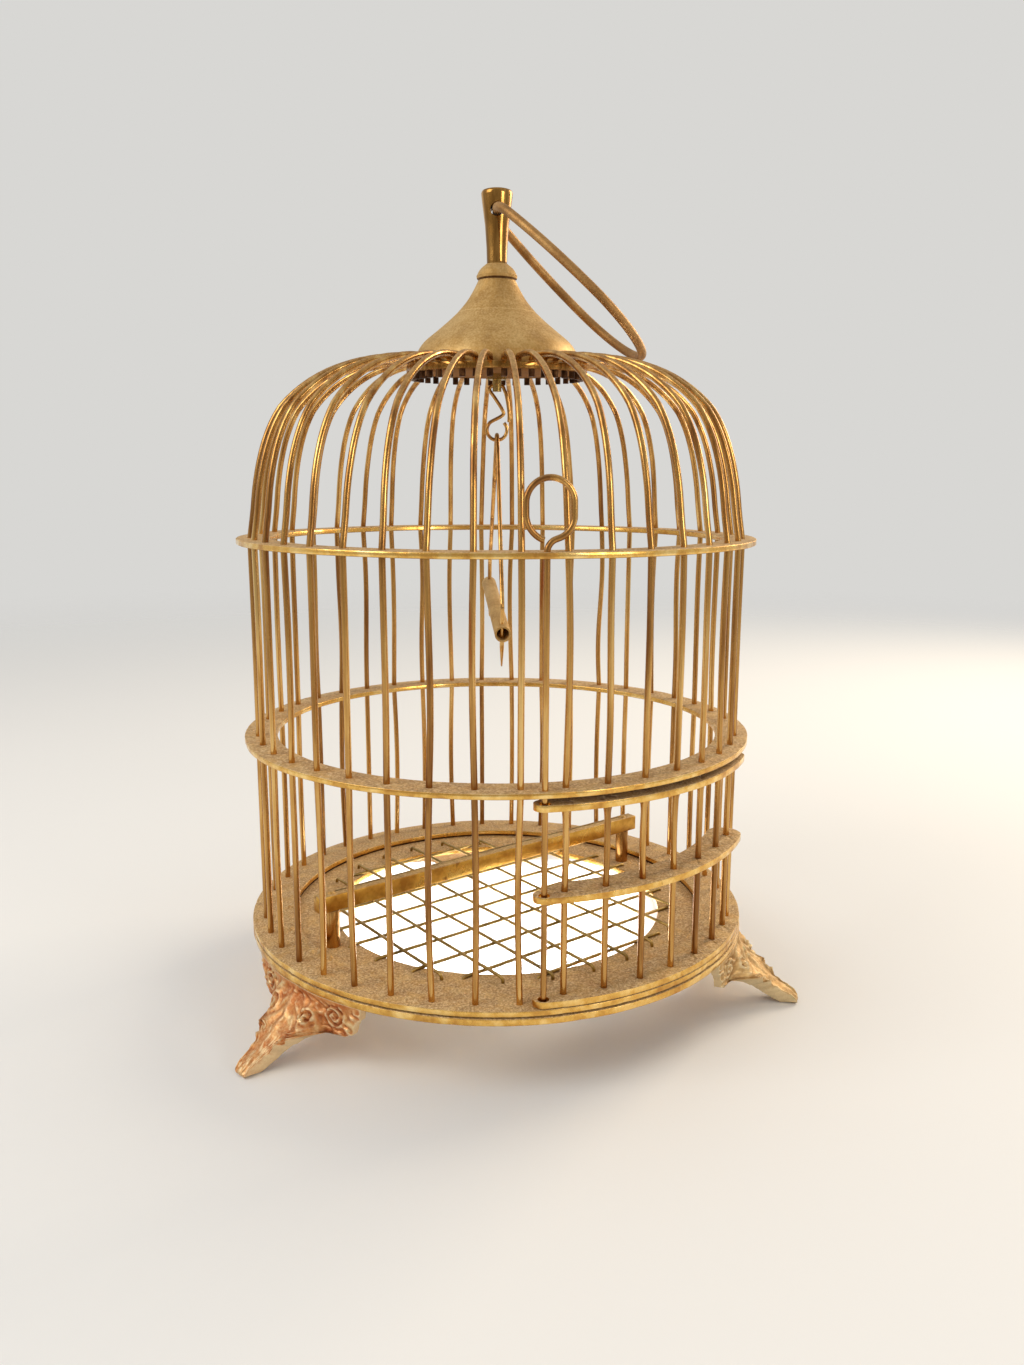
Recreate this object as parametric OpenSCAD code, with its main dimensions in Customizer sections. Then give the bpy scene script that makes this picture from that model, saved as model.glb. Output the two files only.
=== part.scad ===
// Footed brass bird cage with a domed top, a hinged door, a lift-out hinge pin,
// a carrying bail and a hanging swing.
// The origin is on the cage's axis, on the plane that the three feet stand on.
// +Z is up, the front is -Y. Azimuths are measured from the front towards +X.

/* [Base and rings] */
// Outside diameter of the base plate and of every ring
ring_d = 177; // [150:1:215]
// Radial width of the middle and top rings
ring_w = 11; // [10:0.5:15]
// Thickness of the middle and top rings
ring_t = 1.8; // [1.4:0.1:3]
// Height of the base plate's underside above the feet's soles
foot_h = 22.8; // [18:0.2:30]
// Thickness of the base plate
plate_t = 2.2; // [1.6:0.1:3]
// Diameter of the opening in the base plate
plate_hole_d = 119; // [95:1:122]
// Thickness of the solder seam between the plate and the base ring
seam_t = 0.6; // [0.3:0.1:1]
// Radial width of the base ring
base_ring_w = 14.5; // [12:0.5:16]
// Height from the base ring's top to the middle ring's top
lower_storey = 66; // [50:1:85]
// Height from the middle ring's top to the top ring's top
upper_storey = 67.2; // [50:1:85]

/* [Ribs] */
// Number of ribs round the whole cage
rib_count = 40; // [28:4:48]
// Diameter of the rib wire
rib_d = 2; // [1.6:0.1:2.4]
// Distance from the rings' edge in to the ribs' centres
rib_inset = 4.7; // [4:0.1:5.5]
// Radius of the shoulder of the dome, on the wire's centre
dome_r = 46; // [38:1:50]
// Height of the straight wire above the top ring, before the dome starts
shoulder_h = 12.4; // [8:0.2:30]
// Radius of the small bend that turns each rib down into the crown disc
rib_bend_r = 1.6; // [1.6:0.1:3]
// Length of each rib's end below the crown disc
rib_stub = 2.4; // [1:0.1:4]

/* [Door] */
// Number of ribs that are cut short above the door, and of bars in the door
door_bars_n = 7; // [5:1:8]
// Thickness of the door's rails
rail_t = 2; // [1.6:0.1:2.6]
// Radial width of the door's rails
rail_w = 11.5; // [10:0.5:12]
// Gap under the door's bottom rail
door_gap_low = 0.3; // [0.2:0.1:1]
// Gap above the door's top rail
door_gap_high = 2; // [0.8:0.1:4]
// Height of the middle rail's top above the base ring
mid_rail_h = 34.6; // [25:0.2:45]
// Clearance round the pin in the door's rails
door_play = 0.8; // [0.4:0.1:1.2]

/* [Hinge pin] */
// Diameter of the hinge pin's wire
pin_d = 1.85; // [1.4:0.05:2.2]
// Distance from the ribs' outside to the pin's surface
pin_off = 0.48; // [0.3:0.02:1]
// Radius of the finger loop, on the wire's centre
loop_r = 6.7; // [5:0.1:8]

/* [Crown] */
// Radius of the crown disc
crown_r = 30.6; // [26:0.2:34]
// Thickness of the crown disc
crown_t = 2.4; // [1.8:0.1:3.5]
// Distance from the crown disc's edge in to the ribs' ends
crown_inset = 2; // [1.8:0.1:2.6]
// Height of the bell cap
bell_h = 27.6; // [20:0.2:36]
// Wall of the spun bell cap
bell_wall = 1.2; // [0.8:0.1:1.8]
// Radius of the bell cap's neck
bell_neck_r = 5.5; // [4.5:0.1:7]
// Diameter of the collar under the finial
collar_d = 12.5; // [10:0.5:15]
// Height of the collar
collar_h = 5.2; // [3:0.1:7]
// Height of the finial
finial_h = 23; // [18:0.5:32]
// Diameter of the finial's foot
finial_foot_d = 6.7; // [6:0.1:9]
// Diameter of the finial's top
finial_top_d = 10.5; // [9.5:0.1:13]
// Diameter of the threaded stud that ties the crown together
stud_d = 3; // [2.5:0.1:3.6]

/* [Bail] */
// Diameter of the bail's wire
bail_d = 3; // [2.4:0.1:3.4]
// Half of the bail's greatest width, on the wire's centre
bail_half_w = 25; // [22:0.5:32]
// Angle between the bail at rest and the bail pressed against the dome's ribs
bail_rest = 0.4; // [0:0.2:23.4]
// Clearance round the bail in the finial's hole
bail_play = 0.65; // [0.3:0.05:0.9]

/* [Swing] */
// Diameter of the hanger's wire
hanger_d = 1.2; // [0.9:0.1:1.3]
// Radius of the hanger's eye, on the wire's centre
eye_r = 3.4; // [3:0.1:4.5]
// Diameter of the swing's wire
swing_d = 1.5; // [1.2:0.1:1.6]
// Outside diameter of the perch tube
perch_d = 5.4; // [4.5:0.1:7]
// Wall of the perch tube
perch_wall = 0.6; // [0.4:0.1:1]
// Length of the perch tube
perch_len = 72; // [60:1:84]
// Distance from the tube's end in to the wire
perch_end = 4; // [3:0.5:8]
// Height from the eye's lowest wire down to the perch tube's centre
swing_drop = 59; // [50:0.5:66]
// Length of the swing wire's points below the perch tube
swing_point = 9.5; // [5:0.5:14]
// Angle by which the swing hangs with its front end low
swing_tilt = 8; // [0:0.5:12]
// Angle by which the swing's front end is turned to the right
swing_turn = 4; // [-10:0.5:10]

/* [Floor] */
// Diameter of the grid's rods
grid_d = 1.1; // [0.8:0.1:1.6]
// Spacing of the grid's rods
grid_pitch = 14; // [11:0.5:18]
// Direction of the grid from +X
grid_angle = 37; // [0:1:60]
// Distance that the rods reach past the edge of the plate's opening
grid_reach = 6; // [4:0.5:7]
// Height of the floor perch's bar
bar_h = 5.7; // [4:0.1:8]
// Thickness of the floor perch's bar
bar_w = 4.5; // [4:0.1:7]
// Length of the floor perch's bar
bar_len = 145; // [120:1:150]
// Height of the floor perch's posts
post_h = 13; // [8:0.5:22]
// Diameter of the floor perch's posts
post_d = 5; // [4:0.1:6]

/* [Feet] */
// Azimuth of the first foot
foot_az = -46; // [-60:1:-30]
// Reach of the toes from the cage's axis, past the rings' edge
toe_reach = 21.5; // [14:0.5:30]
// Half the angle that each foot's bracket follows under the rim
foot_half_angle = 18.5; // [14:0.5:22]
// Thickness of the feet's casting
foot_wall = 3.2; // [2.4:0.1:4.5]
// Diameter of the rivets that hold the feet
rivet_d = 2.4; // [2:0.1:3]

/* [Hidden] */

$fn = 48;
cut = 1;            // how far a cutting tool runs past what it cuts
fit = 0.04;         // radial clearance of a wire in its drilled hole
slack = 0.2;        // clearance between pieces that only lie beside each other

brass = "#B98A4A";
dusty_brass = "#B59A6B";
bright_brass = "#C8963E";
old_brass = "#8E6A3A";

// Rings and heights
ring_r = ring_d / 2;
rib_r = ring_r - rib_inset;
rib_step = 360 / rib_count;
rib_wire_r = rib_d / 2;
plate_z = foot_h;
plate_top = plate_z + plate_t;
base_z = plate_top + seam_t;
base_top = base_z + ring_t;
mid_top = base_top + lower_storey;
mid_z = mid_top - ring_t;
top_top = mid_top + upper_storey;
top_z = top_top - ring_t;
seam_inset = 1.6;   // the solder stops short of the rim, which leaves a dark groove

// Dome and crown
spring_z = top_top + shoulder_h;
crown_hole_r = crown_r - crown_inset;
flat_run = rib_r - dome_r - crown_hole_r - rib_bend_r;  // level wire between a rib's arch and its turn down
// On a ring too small for a level run the arch stops short and turns straight down
dome_turn = flat_run >= 0 ? 90 : acos(-flat_run / (dome_r - rib_bend_r));
crown_top = spring_z + (dome_r - rib_bend_r) * sin(dome_turn);
rib_top_z = crown_top + rib_bend_r;
crown_z = crown_top - crown_t;
stub_z = crown_z - rib_stub;
bell_r = crown_hole_r - rib_wire_r - slack;
bell_top = crown_top + bell_h;
bell_lip = 2.5;     // height of the bell's upright lip
collar_z = bell_top;
finial_z = collar_z + collar_h;
finial_top = finial_z + finial_h;
pivot_z = finial_top - 6.6;
bail_hole_r = bail_d / 2 + bail_play;
finial_bore = stud_d / 2 + fit;
stud_top = finial_z + 9;
nut_t = 2;
nut_af = 5.5;
hanger_hole_z = crown_z - nut_t - 2;
stud_low = hanger_hole_z - 1.9;

// Door: its bars stand at the places of the ribs that are cut short
door_first = rib_step * 1.5;
door_last = door_first + rib_step * (door_bars_n - 1);
pin_az = rib_step;
pin_r = rib_r + rib_wire_r + pin_off + pin_d / 2;
pin_hole_r = pin_d / 2 + fit;
rail_hole_r = pin_d / 2 + door_play;
rail_in = ring_r - rail_w;
bottom_rail_z = base_top + door_gap_low;
middle_rail_z = base_top + mid_rail_h - rail_t;
top_rail_z = mid_z - door_gap_high - rail_t;

// Swing
eye_z = crown_z - 18.6;
eye_bottom_z = eye_z - eye_r;
apex_r = 1.7;
knee_r = 4;
swing_half = perch_len / 2 - perch_end;
swing_lean = atan((swing_half - apex_r) / (swing_drop - 8));

// Floor
grid_r = plate_hole_d / 2 + grid_reach;
grid_end_gap = 0.8;  // clearance between the two layers' turned-down ends
grid_lower_r = grid_r - grid_d - grid_end_gap;
grid_lower_z = plate_top + grid_d / 2;
grid_upper_z = grid_lower_z + grid_d;
grid_bend_r = grid_d / 2 + 0.7;
grid_shift_a = -4;
grid_shift_b = 1.5;
grid_end_z = plate_z + 0.4;  // the turned-down ends stop inside the plate's thickness
bar_shift = 3.3;
post_at = grid_r + 1.5;
post_top = plate_top + post_h;
nail_d = 1.6;

// Feet
toe_r = ring_r + toe_reach;
foot_azimuths = [foot_az, foot_az + 120, foot_az + 240];
flange_t = 1.8;
rivet_r = ring_r - 8.2;
rivet_angle = 9;
rivet_head_d = rivet_d * 1.8;
rivet_head_h = 0.9;

// Rounds a length to a hundredth of a millimetre
function tidy(x) = round(x * 100) / 100;

// Points on an arc, from angle a0 to a1
function arc(centre, r, a0, a1, steps) =
    [for (i = [0 : steps]) let (a = a0 + (a1 - a0) * i / steps) centre + r * [cos(a), sin(a)]];

// A wire swept along points in the XZ plane; a closed one joins its last point to its first
module swept_wire(path, d, sides = 10, closed = false, tips = 1) {
    n = len(path);
    function tangent(i) = let (v = closed ? path[(i + 1) % n] - path[(i + n - 1) % n]
        : path[min(i + 1, n - 1)] - path[max(i - 1, 0)]) v / norm(v);
    function size(i) = !closed && (i == 0 || i == n - 1) ? d * tips : d;
    points = [for (i = [0 : n - 1]) let (t = tangent(i)) for (k = [0 : sides - 1])
        let (a = 360 * k / sides, u = size(i) / 2 * cos(a), w = size(i) / 2 * sin(a))
            [path[i][0] - t[1] * u, w, path[i][1] + t[0] * u]];
    walls = [for (i = [0 : closed ? n - 1 : n - 2], k = [0 : sides - 1])
        let (a = i * sides + k, b = i * sides + (k + 1) % sides, e = ((i + 1) % n - i) * sides)
            [a, b, b + e, a + e]];
    ends = closed ? [] : [[for (k = [0 : sides - 1]) sides - 1 - k], [for (k = [0 : sides - 1]) (n - 1) * sides + k]];
    polyhedron(points, concat(walls, ends), convexity = 6);
}

// Places copies of its children at an azimuth, with local +X pointing outwards
module at(az) rotate([0, 0, az - 90]) children();

// A part of a flat ring
module sector(r_in, r_out, from_az, to_az, h)
    rotate([0, 0, from_az - 90])
        rotate_extrude(angle = to_az - from_az)
            translate([r_in, 0]) square([r_out - r_in, h]);

// Wire bent on radius r in the XZ plane, from angle a0 to a1, about the local origin
module bend(r, a0, a1, d)
    rotate([90, 0, 0]) rotate([0, 0, a0])
        rotate_extrude(angle = a1 - a0) translate([r, 0]) circle(d = d);

// Straight wire along local +Z
module wire(d, h) cylinder(d = d, h = h);

function rib_azimuths() = [for (i = [0 : rib_count - 1]) rib_step * (i + 0.5)];
function over_door(az) = az > door_first - 1 && az < door_last + 1;

module ring(z, r_in, h, holes) {
    difference() {
        translate([0, 0, z]) difference() {
            cylinder(r = ring_r, h = h);
            translate([0, 0, -cut]) cylinder(r = r_in, h = h + 2 * cut);
        }
        for (az = holes)
            at(az) translate([rib_r, 0, z - cut]) cylinder(r = rib_wire_r + fit, h = h + 2 * cut);
        at(pin_az) translate([pin_r, 0, z - cut]) cylinder(r = pin_hole_r, h = h + 2 * cut);
    }
}

function full_ribs() = [for (az = rib_azimuths()) if (!over_door(az)) az];

// ---- Base ----

module base_plate() color(dusty_brass) {
    difference() {
        ring(plate_z, plate_hole_d / 2, plate_t, full_ribs());
        for (az = foot_azimuths, side = [-1, 1])
            at(az + side * rivet_angle) translate([rivet_r, 0, plate_z - cut])
                cylinder(r = rivet_d / 2 + fit, h = plate_t + 2 * cut);
        grid_layer(grid_angle, grid_shift_b, grid_lower_r) grid_end_holes(grid_lower_z);
        grid_layer(grid_angle - 90, grid_shift_a, grid_r) grid_end_holes(grid_upper_z);
    }
}

module solder_seam() color(old_brass) {
    difference() {
        translate([0, 0, plate_top]) cylinder(r = ring_r - seam_inset, h = seam_t);
        translate([0, 0, plate_top - cut]) cylinder(r = ring_r - base_ring_w + slack, h = seam_t + 2 * cut);
        for (az = full_ribs())
            at(az) translate([rib_r, 0, plate_top - cut]) cylinder(r = rib_wire_r + fit, h = seam_t + 2 * cut);
        at(pin_az) translate([pin_r, 0, plate_top - cut]) cylinder(r = pin_hole_r, h = seam_t + 2 * cut);
        for (az = foot_azimuths, side = [-1, 1])
            at(az + side * rivet_angle) translate([rivet_r, 0, plate_top - cut])
                cylinder(r = rivet_head_d / 2, h = seam_t + 2 * cut);
    }
}

module base_ring() color(dusty_brass) ring(base_z, ring_r - base_ring_w, ring_t, full_ribs());
module mid_ring() color(dusty_brass) ring(mid_z, ring_r - ring_w, ring_t, rib_azimuths());
module top_ring() color(dusty_brass) ring(top_z, ring_r - ring_w, ring_t, rib_azimuths());

// ---- Feet ----

// The foot's side view, out along the radius and up
function foot_side() = let (r = ring_r, h = foot_h, tip = toe_r)
    [[r - foot_wall, h], [r, h], [r + 0.16 * toe_reach, 0.78 * h], [r + 0.37 * toe_reach, 0.5 * h],
     [r + 0.62 * toe_reach, 0.33 * h], [r + 0.84 * toe_reach, 0.22 * h], [tip - 0.6, 0.12 * h],
     [tip, 0.06 * h], [tip - 0.4, 0], [tip - 8.5, 0], [tip - 11, 0.06 * h], [r + 0.26 * toe_reach, 0.27 * h],
     [r + 0.06 * toe_reach, 0.38 * h], [r - foot_wall, 0.5 * h]];

// The foot's front view, across the tangent and up
function foot_front() = let (h = foot_h)
    [[4.2, 0], [5.2, 0.25 * h], [7.5, 0.42 * h], [12, 0.56 * h], [15, h], [-15, h],
     [-12, 0.56 * h], [-7.5, 0.42 * h], [-5.2, 0.25 * h], [-4.2, 0]];

module foot(az) color(brass) at(az) {
    difference() {
        union() {
            // bracket that follows the rim, with scalloped lower edges
            difference() {
                translate([0, 0, foot_h * 0.46]) sector(ring_r - foot_wall, ring_r, 90 - foot_half_angle,
                    90 + foot_half_angle, foot_h * 0.54);
                for (side = [-1, 1]) {
                    translate([ring_r - foot_wall - cut, side * 9.6, foot_h * 0.44]) rotate([0, 90, 0])
                        cylinder(r = 2.6, h = foot_wall + 2 * cut);
                    translate([ring_r - foot_wall - 3 * cut, side * 30.5, foot_h * 0.42]) rotate([0, 90, 0])
                        cylinder(r = 6.5, h = foot_wall + 4 * cut);
                }
            }
            // flange that seats under the plate
            translate([0, 0, foot_h - flange_t])
                sector(ring_r - 12, ring_r - foot_wall, 90 - foot_half_angle, 90 + foot_half_angle, flange_t);
            // leg that sweeps out to the toe
            intersection() {
                rotate([90, 0, 0]) translate([0, 0, -20]) linear_extrude(height = 40) polygon(foot_side());
                rotate([90, 0, 90]) linear_extrude(height = toe_r + cut) polygon(foot_front());
            }
        }
        for (side = [-1, 1])
            rotate([0, 0, side * rivet_angle]) translate([rivet_r, 0, foot_h - flange_t - cut])
                cylinder(r = rivet_d / 2 + fit, h = flange_t + 2 * cut);
    }
}

module foot_front_left() foot(foot_azimuths[0]);
module foot_right() foot(foot_azimuths[1]);
module foot_back() foot(foot_azimuths[2]);

module foot_rivets() color(bright_brass)
    for (az = foot_azimuths, side = [-1, 1])
        at(az + side * rivet_angle) translate([rivet_r, 0, 0]) {
            translate([0, 0, foot_h - flange_t - rivet_head_h]) cylinder(d1 = rivet_d, d2 = rivet_head_d, h = rivet_head_h);
            translate([0, 0, foot_h - flange_t]) cylinder(d = rivet_d, h = flange_t + plate_t);
        }

// ---- Floor ----

// Children are drawn once for each rod, with the rod's half-length in $half; the rods end on a circle of radius end_r
module grid_layer(angle, shift, end_r)
    rotate([0, 0, angle])
        for (k = [-4 : 4])
            let ($off = shift + k * grid_pitch)
                if (abs($off) < plate_hole_d / 2 + 0.5)
                    let ($half = tidy(sqrt(end_r * end_r - $off * $off)))
                        translate([0, -$off, 0]) children();

// A rod with both ends turned down through the plate
module grid_rod(z) {
    run = $half - grid_bend_r;
    translate([-run, 0, z]) rotate([0, 90, 0]) wire(grid_d, 2 * run);
    for (side = [0, 1]) mirror([side, 0, 0]) {
        translate([run, 0, z - grid_bend_r]) bend(grid_bend_r, 0, 90, grid_d);
        translate([$half, 0, grid_end_z]) wire(grid_d, z - grid_bend_r - grid_end_z);
    }
}

// The hole is a slot wide enough for the rod's bend
module grid_end_holes(z)
    for (side = [0, 1]) mirror([side, 0, 0])
        translate([$half - grid_d * 0.9, -grid_d / 2 - fit, plate_z - cut])
            cube([grid_d * 1.4 + fit, grid_d + 2 * fit, plate_t + 2 * cut]);

module grid_rods_lower() color(old_brass)
    grid_layer(grid_angle, grid_shift_b, grid_lower_r) grid_rod(grid_lower_z);
module grid_rods_upper() color(old_brass)
    grid_layer(grid_angle - 90, grid_shift_a, grid_r) grid_rod(grid_upper_z);

module floor_perch_frame() rotate([0, 0, grid_angle]) translate([0, bar_shift, 0]) children();

module floor_perch_bar() color(bright_brass) floor_perch_frame()
    difference() {
        translate([-bar_len / 2, -bar_w / 2, post_top]) cube([bar_len, bar_w, bar_h]);
        for (side = [-1, 1])
            translate([side * post_at, 0, post_top - cut]) cylinder(r = nail_d / 2 + fit, h = bar_h + 2 * cut);
    }

module floor_perch_posts() color(brass) floor_perch_frame()
    for (side = [-1, 1])
        translate([side * post_at, 0, plate_top]) difference() {
            cylinder(d = post_d, h = post_h);
            translate([0, 0, post_h - 6]) cylinder(r = nail_d / 2 + fit, h = 6 + cut);
        }

module floor_perch_nails() color(bright_brass) floor_perch_frame()
    for (side = [-1, 1])
        translate([side * post_at, 0, 0]) {
            translate([0, 0, post_top - 5.5]) cylinder(d = nail_d, h = bar_h + 5.5);
            translate([0, 0, post_top + bar_h]) cylinder(d1 = nail_d * 1.9, d2 = nail_d, h = 0.7);
        }

// ---- Ribs ----

// The arched part of a rib, from the top ring to the crown disc
module rib_arch() {
    translate([rib_r - dome_r, 0, spring_z]) bend(dome_r, 0, dome_turn, rib_d);
    if (flat_run > 0)
        translate([crown_hole_r + rib_bend_r, 0, rib_top_z]) rotate([0, 90, 0]) wire(rib_d, flat_run);
    translate([crown_hole_r + rib_bend_r, 0, crown_top]) bend(rib_bend_r, dome_turn, 180, rib_d);
    translate([crown_hole_r, 0, stub_z]) wire(rib_d, crown_top - stub_z);
}

module rib(foot_z) {
    translate([rib_r, 0, foot_z]) wire(rib_d, spring_z - foot_z);
    rib_arch();
}

module ribs_full() color(brass) for (az = full_ribs()) at(az) rib(plate_z);

module ribs_over_door() color(brass)
    for (az = rib_azimuths()) if (over_door(az)) at(az) rib(mid_z - door_gap_high / 2);

// ---- Crown ----

module crown_disc() color(bright_brass)
    difference() {
        translate([0, 0, crown_z]) cylinder(r = crown_r, h = crown_t);
        for (az = rib_azimuths())
            at(az) translate([crown_hole_r, 0, crown_z - cut]) cylinder(r = rib_wire_r + fit, h = crown_t + 2 * cut);
        translate([0, 0, crown_z - cut]) cylinder(r = stud_d / 2 + fit, h = crown_t + 2 * cut);
    }

// One point of the bell's flowing outside, from the lip (t = 0) to the neck (t = 1)
function bezier(p, t) = (1 - t) ^ 3 * p[0] + 3 * t * (1 - t) ^ 2 * p[1] + 3 * t ^ 2 * (1 - t) * p[2] + t ^ 3 * p[3];
function bell_outline(inset) = let (h = bell_h - bell_lip, z0 = crown_top + bell_lip)
    [for (i = [0 : 12]) bezier([[bell_r, z0], [bell_r - 1.8, z0 + 0.25 * h], [bell_neck_r + 4.5, z0 + 0.29 * h],
                                [bell_neck_r, z0 + h]], i / 12) - [inset, 0]];

module bell_cap() color(dusty_brass)
    difference() {
        rotate_extrude() polygon(concat([[0, crown_top], [bell_r, crown_top]], bell_outline(0), [[0, bell_top]]));
        rotate_extrude() polygon(concat([[0, crown_top - cut], [bell_r - bell_wall, crown_top - cut]],
            [for (p = bell_outline(bell_wall)) if (p[1] < bell_top - 2) p], [[0, bell_top - 2]]));
        translate([0, 0, crown_top]) cylinder(r = stud_d / 2 + fit, h = bell_h + cut);
    }

module collar() color(brass)
    difference() {
        translate([0, 0, collar_z]) rotate_extrude() intersection() {
            scale(collar_d / 2) circle(r = 1, $fn = 96);
            polygon([[0, 0], [collar_d, 0], [collar_d, 1.3], [finial_foot_d / 2 + 0.5, collar_h],
                     [0, collar_h]]);
        }
        translate([0, 0, collar_z - cut]) cylinder(r = stud_d / 2 + fit, h = collar_h + 2 * cut);
    }

module finial() color(brass)
    difference() {
        rotate_extrude() polygon([[0, finial_z], [finial_foot_d / 2, finial_z],
            [finial_foot_d / 2 + 0.15, finial_z + 0.22 * finial_h],
            [finial_foot_d / 2 + 0.62, finial_z + 0.52 * finial_h], [finial_top_d / 2 - 0.25, finial_top - 3.2],
            [finial_top_d / 2, finial_top - 1], [finial_top_d / 2 - 0.35, finial_top - 0.25],
            [finial_top_d / 2 - 1, finial_top], [0, finial_top]]);
        translate([0, 0, finial_z - cut]) cylinder(r = finial_bore, h = stud_top + 0.5 - finial_z + cut);
        translate([0, 0, pivot_z]) rotate([90, 0, 0]) cylinder(r = bail_hole_r, h = 2 * finial_top_d, center = true);
    }

module crown_stud() color(old_brass)
    difference() {
        translate([0, 0, stud_low]) cylinder(d = stud_d, h = stud_top - stud_low);
        translate([0, 0, hanger_hole_z]) rotate([0, 90, 0])
            cylinder(r = hanger_d / 2 + 2 * fit, h = 2 * stud_d, center = true);
    }

module stud_nut() color(old_brass)
    difference() {
        translate([0, 0, crown_z - nut_t]) cylinder(d = nut_af / cos(30), h = nut_t, $fn = 6);
        translate([0, 0, crown_z - nut_t - cut]) cylinder(r = stud_d / 2 + fit, h = nut_t + 2 * cut);
    }

// ---- Bail ----

// The bail is drawn lying along +X in the XY plane: a narrow end in the finial, long sides, a round end
bail_neck = finial_top_d / 2 - 0.25;
bail_near_r = 12;
bail_near_turn = 60;
bail_near_x = bail_near_r * (1 - cos(bail_near_turn));
bail_near_y = bail_neck + bail_near_r * sin(bail_near_turn);
bail_side_turn = 90 - bail_near_turn;
bail_side_r = (bail_half_w - bail_near_y) / (1 - cos(bail_side_turn));
bail_side_x = bail_near_x + bail_side_r * sin(bail_side_turn);

function bail_half_path() = concat(
    arc([bail_near_r, bail_neck], bail_near_r, 180, 180 - bail_near_turn, 6),
    arc([bail_side_x, bail_half_w - bail_side_r], bail_side_r, 90 + bail_side_turn * 0.75, 90, 3),
    arc([bail_side_x, 0], bail_half_w, 82, 0, 10));

// Distance of a point from the surface that the ribs' centres lie on, over the dome's shoulder and top
function dome_gap(r, z) = r > rib_r - dome_r + dome_r * cos(dome_turn) ? norm([r - (rib_r - dome_r), z - spring_z]) - dome_r : z - rib_top_z;
function bail_gap(a) = min([for (p = bail_half_path())
    dome_gap(norm([p[0] * cos(a), p[1]]), pivot_z - p[0] * sin(a))]);

// The steepest angle at which the bail clears the ribs, found by halving
function bail_touch(low, high, steps) = steps == 0 ? low : let (mid = (low + high) / 2)
    bail_gap(mid) > rib_wire_r + bail_d / 2 + slack ? bail_touch(mid, high, steps - 1) : bail_touch(low, mid, steps - 1);
bail_angle = floor(bail_touch(0, 80, 14) * 5) / 5 - bail_rest;

module bail_shape() {
    half = bail_half_path();
    n = len(half);
    rotate([-90, 0, 0])
        swept_wire(concat(half, [for (i = [n - 2 : -1 : 0]) [half[i][0], -half[i][1]]]), bail_d, 12, closed = true);
}

module bail_handle() color(brass) translate([0, 0, pivot_z]) rotate([0, bail_angle, 0]) bail_shape();

// ---- Hinge pin ----

// The finger loop stands on the pin's stem like a question mark; its route is in the local XZ plane
function loop_route() = let (
    s = loop_r / 6.7,
    stem = top_top,
    side_x = 0.8 * s,
    top_c = stem + 13.2 * s,
    low_c = stem + 9.8 * s,
    low_r = 6.5 * s,
    turn = 75,
    low_x = side_x + loop_r - low_r,
    join_r = (low_x + low_r * cos(turn)) / (1 - sin(90 - turn)),
    join_z = low_c - low_r * sin(turn) - join_r * sin(turn),
    left_r = 7.5 * s,
    left_c = low_c + 0.5 * s)
    concat([[0, stem - 1.5]], arc([join_r, join_z], join_r, 180, 180 - turn, 5),
           arc([low_x, low_c], low_r, -turn + 12, 0, 5), arc([side_x, top_c], loop_r, 0, 180, 12),
           arc([side_x - loop_r + left_r, left_c], left_r, 180, 250, 5));

module hinge_pin() color(brass) at(pin_az) translate([pin_r, 0, 0]) {
    translate([0, 0, plate_z]) wire(pin_d, top_top - plate_z);
    rotate([0, 0, 90]) swept_wire(loop_route(), pin_d - 0.03);
}

// ---- Door ----

module door_rail(z, t) color(dusty_brass) {
    end_r = rail_w / 2;
    far_az = door_last + 1;
    difference() {
        translate([0, 0, z]) linear_extrude(height = t) union() {
            // the rail's curved run
            difference() {
                intersection() {
                    circle(r = ring_r, $fn = 180);
                    rotate([0, 0, -90]) polygon([[0, 0], 2 * ring_r * [cos(door_first), sin(door_first)],
                        2 * ring_r * [cos((door_first + far_az) / 2), sin((door_first + far_az) / 2)],
                        2 * ring_r * [cos(far_az), sin(far_az)]]);
                }
                circle(r = rail_in, $fn = 180);
            }
            // its round far end
            rotate([0, 0, far_az - 90]) translate([rail_in + end_r, 0]) circle(r = end_r);
            // its narrow end round the pin
            hull() {
                rotate([0, 0, pin_az - 90]) translate([pin_r - 0.9, 0]) circle(r = 3.2, $fn = 32);
                rotate([0, 0, door_first + 0.5 - 90]) translate([rail_in + 0.4, -0.5]) square([rail_w - 0.5, 0.5]);
            }
        }
        at(pin_az) translate([pin_r, 0, z - cut]) cylinder(r = rail_hole_r, h = t + 2 * cut);
        for (i = [0 : door_bars_n - 1])
            at(door_first + i * rib_step) translate([rib_r, 0, z - cut])
                cylinder(r = rib_wire_r + fit, h = t + 2 * cut);
    }
}

module door_bottom_rail() door_rail(bottom_rail_z, rail_t);
module door_middle_rail() door_rail(middle_rail_z, rail_t);
module door_top_rail() door_rail(top_rail_z, rail_t);

module door_bars() color(brass)
    for (i = [0 : door_bars_n - 1])
        at(door_first + i * rib_step) translate([rib_r, 0, bottom_rail_z])
            wire(rib_d, top_rail_z + rail_t - bottom_rail_z);

// ---- Swing ----

// A smooth curve through hand-placed points
function spline(p, i, t) = let (a = p[max(i - 1, 0)], b = p[i], c = p[i + 1], d = p[min(i + 2, len(p) - 1)])
    0.5 * (2 * b + (c - a) * t + (2 * a - 5 * b + 4 * c - d) * t ^ 2 + (3 * b - a - 3 * c + d) * t ^ 3);
function smooth(p, steps) = concat([for (i = [0 : len(p) - 2], s = [0 : steps - 1]) spline(p, i, s / steps)],
    [p[len(p) - 1]]);

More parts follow.
